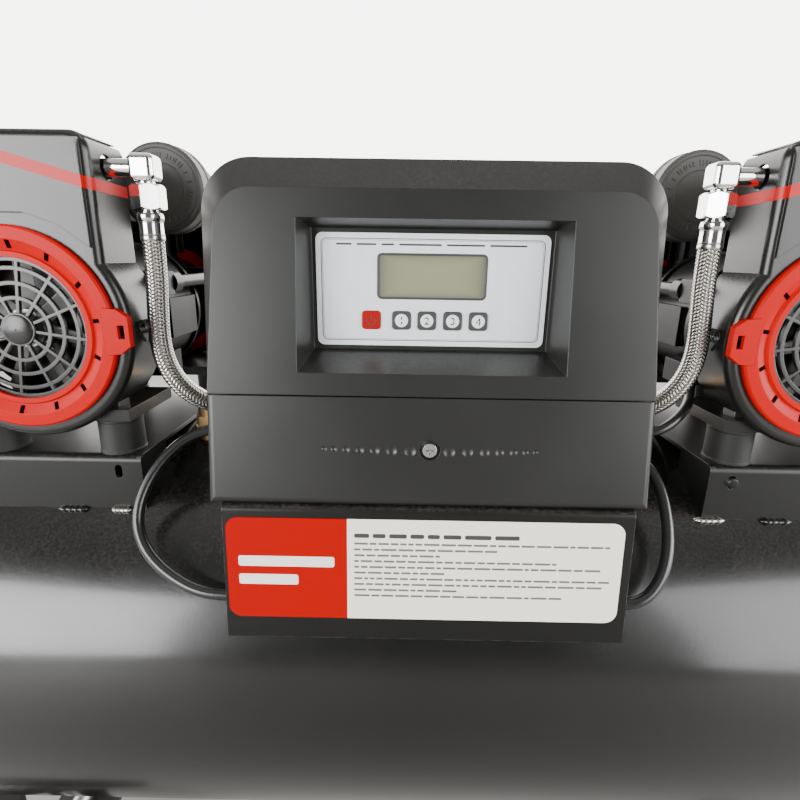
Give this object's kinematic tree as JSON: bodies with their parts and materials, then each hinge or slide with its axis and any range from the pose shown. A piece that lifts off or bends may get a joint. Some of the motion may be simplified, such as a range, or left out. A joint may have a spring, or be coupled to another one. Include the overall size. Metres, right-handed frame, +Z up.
{
  "type": "hotdog air compressor",
  "caption": "Horizontal-tank oil-free air compressor: motor pumps on deck plates beside a leaning keypad control box, braided hoses, wheels at one end, rubber feet and handle at the other.",
  "frame": {"origin": "on the floor under the middle of the machine", "axes": "+Z up, +X along the tank towards the rubber feet and handle, control panel facing -Y"},
  "size_m": [1.39, 0.432, 0.8782],
  "materials": {
    "tank_paint": "gloss black with fine orange peel",
    "black_sheet": "satin black powder coat",
    "rubber": "matt",
    "zinc_steel": "zinc plated",
    "rim_paint": "silver paint",
    "tyre": "matt black",
    "cast_black": "black painted casting",
    "cowl_plastic": "textured dark grey",
    "rotor_steel": "turned",
    "piston_alloy": "machined",
    "red_plastic": "satin red",
    "copper_winding": "varnished winding",
    "filter_plastic": "dark grey",
    "pipe_black": "black",
    "chrome": "polished nickel",
    "braid": "woven stainless wire",
    "cable_black": "gloss black sheath",
    "gland_plastic": "black nylon",
    "brass_parts": "machined brass",
    "lever_red": "dipped red",
    "box_plastic": "fine spark texture",
    "fascia_print": "pale blue grey film",
    "display": "unlit liquid crystal",
    "board_green": "solder mask",
    "key_red": "glossy",
    "key_grey": "glossy",
    "label_film": "printed film"
  },
  "bodies": {
    "compressor": {"tank": "tank_paint", "pump_decks": "black_sheet", "legs": "black_sheet", "handle": "black_sheet", "control_bracket": "black_sheet", "rubber_feet": "rubber", "rubber_mounts": "rubber", "axle": "zinc_steel", "fasteners": "zinc_steel", "pump_1_casing": "cast_black", "pump_1_cowls": "cowl_plastic", "hose_1": "braid", "pump_2_casing": "cast_black", "pump_2_cowls": "cowl_plastic", "hose_2": "braid", "pump_3_casing": "cast_black", "pump_3_cowls": "cowl_plastic", "hose_3": "braid", "pump_4_casing": "cast_black", "pump_4_cowls": "cowl_plastic", "hose_4": "braid", "fan_rings": "red_plastic", "stators": "copper_winding", "intake_filters": "filter_plastic", "crossover_pipes": "pipe_black", "hose_fittings": "chrome", "cable_left": "cable_black", "cable_right": "cable_black", "motor_lead": "cable_black", "cable_glands": "gland_plastic", "tank_fittings": "brass_parts", "front_cover": "box_plastic", "box_base": "box_plastic", "terminal_cover": "box_plastic", "fascia": "fascia_print", "lcd_window": "display", "circuit_board": "board_green", "notice_label": "label_film"},
    "pump_1_rotor": {"pump_1_rotor": "rotor_steel"},
    "pump_1_piston_front": {"pump_1_piston_front": "piston_alloy"},
    "pump_1_piston_rear": {"pump_1_piston_rear": "piston_alloy"},
    "pump_2_rotor": {"pump_2_rotor": "rotor_steel"},
    "pump_2_piston_front": {"pump_2_piston_front": "piston_alloy"},
    "pump_2_piston_rear": {"pump_2_piston_rear": "piston_alloy"},
    "pump_3_rotor": {"pump_3_rotor": "rotor_steel"},
    "pump_3_piston_front": {"pump_3_piston_front": "piston_alloy"},
    "pump_3_piston_rear": {"pump_3_piston_rear": "piston_alloy"},
    "pump_4_rotor": {"pump_4_rotor": "rotor_steel"},
    "pump_4_piston_front": {"pump_4_piston_front": "piston_alloy"},
    "pump_4_piston_rear": {"pump_4_piston_rear": "piston_alloy"},
    "wheel_front": {"wheel_rim_front": "rim_paint", "tyre_front": "tyre"},
    "wheel_rear": {"wheel_rim_rear": "rim_paint", "tyre_rear": "tyre"},
    "power_key": {"power_key": "key_red"},
    "key_1": {"key_1": "key_grey"},
    "key_2": {"key_2": "key_grey"},
    "key_3": {"key_3": "key_grey"},
    "key_4": {"key_4": "key_grey"},
    "valve_lever": {"valve_lever": "lever_red"}
  },
  "joints": [
    {"name": "pump_1_shaft", "type": "hinge", "parent": "compressor", "child": "pump_1_rotor", "pos_m": [-0.525, 0, 0.727], "axis": [0, 1, 0], "continuous": true},
    {"name": "pump_1_front_stroke", "type": "slide", "parent": "compressor", "child": "pump_1_piston_front", "axis": [0, 0, 1], "range_m": [-0.008, 0.008]},
    {"name": "pump_1_rear_stroke", "type": "slide", "parent": "compressor", "child": "pump_1_piston_rear", "axis": [0, 0, 1], "range_m": [-0.008, 0.008]},
    {"name": "pump_2_shaft", "type": "hinge", "parent": "compressor", "child": "pump_2_rotor", "pos_m": [-0.315, 0, 0.727], "axis": [0, 1, 0], "continuous": true},
    {"name": "pump_2_front_stroke", "type": "slide", "parent": "compressor", "child": "pump_2_piston_front", "axis": [0, 0, 1], "range_m": [-0.008, 0.008]},
    {"name": "pump_2_rear_stroke", "type": "slide", "parent": "compressor", "child": "pump_2_piston_rear", "axis": [0, 0, 1], "range_m": [-0.008, 0.008]},
    {"name": "pump_3_shaft", "type": "hinge", "parent": "compressor", "child": "pump_3_rotor", "pos_m": [0.315, 0, 0.727], "axis": [0, 1, 0], "continuous": true},
    {"name": "pump_3_front_stroke", "type": "slide", "parent": "compressor", "child": "pump_3_piston_front", "axis": [0, 0, 1], "range_m": [-0.008, 0.008]},
    {"name": "pump_3_rear_stroke", "type": "slide", "parent": "compressor", "child": "pump_3_piston_rear", "axis": [0, 0, 1], "range_m": [-0.008, 0.008]},
    {"name": "pump_4_shaft", "type": "hinge", "parent": "compressor", "child": "pump_4_rotor", "pos_m": [0.525, 0, 0.727], "axis": [0, 1, 0], "continuous": true},
    {"name": "pump_4_front_stroke", "type": "slide", "parent": "compressor", "child": "pump_4_piston_front", "axis": [0, 0, 1], "range_m": [-0.008, 0.008]},
    {"name": "pump_4_rear_stroke", "type": "slide", "parent": "compressor", "child": "pump_4_piston_rear", "axis": [0, 0, 1], "range_m": [-0.008, 0.008]},
    {"name": "wheel_front_spin", "type": "hinge", "parent": "compressor", "child": "wheel_front", "pos_m": [-0.43, -0.1875, 0.095], "axis": [0, 1, 0], "continuous": true},
    {"name": "wheel_rear_spin", "type": "hinge", "parent": "compressor", "child": "wheel_rear", "pos_m": [-0.43, 0.1875, 0.095], "axis": [0, 1, 0], "continuous": true},
    {"name": "power_key_press", "type": "slide", "parent": "compressor", "child": "power_key", "axis": [0, 1, 0], "range_m": [0, 0.0008], "stiffness_N_per_m": 1500},
    {"name": "key_1_press", "type": "slide", "parent": "compressor", "child": "key_1", "axis": [0, 1, 0], "range_m": [0, 0.0008], "stiffness_N_per_m": 1500},
    {"name": "key_2_press", "type": "slide", "parent": "compressor", "child": "key_2", "axis": [0, 1, 0], "range_m": [0, 0.0008], "stiffness_N_per_m": 1500},
    {"name": "key_3_press", "type": "slide", "parent": "compressor", "child": "key_3", "axis": [0, 1, 0], "range_m": [0, 0.0008], "stiffness_N_per_m": 1500},
    {"name": "key_4_press", "type": "slide", "parent": "compressor", "child": "key_4", "axis": [0, 1, 0], "range_m": [0, 0.0008], "stiffness_N_per_m": 1500},
    {"name": "valve_lever_turn", "type": "hinge", "parent": "compressor", "child": "valve_lever", "pos_m": [0, 0.101, 0.677], "axis": [0, 0, -1], "range_deg": [0, 90]}
  ],
  "couplings": [
    {"joint": "pump_1_rear_stroke", "follows": "pump_1_front_stroke", "ratio": -1},
    {"joint": "pump_2_rear_stroke", "follows": "pump_2_front_stroke", "ratio": -1},
    {"joint": "pump_3_rear_stroke", "follows": "pump_3_front_stroke", "ratio": -1},
    {"joint": "pump_4_rear_stroke", "follows": "pump_4_front_stroke", "ratio": -1}
  ]
}
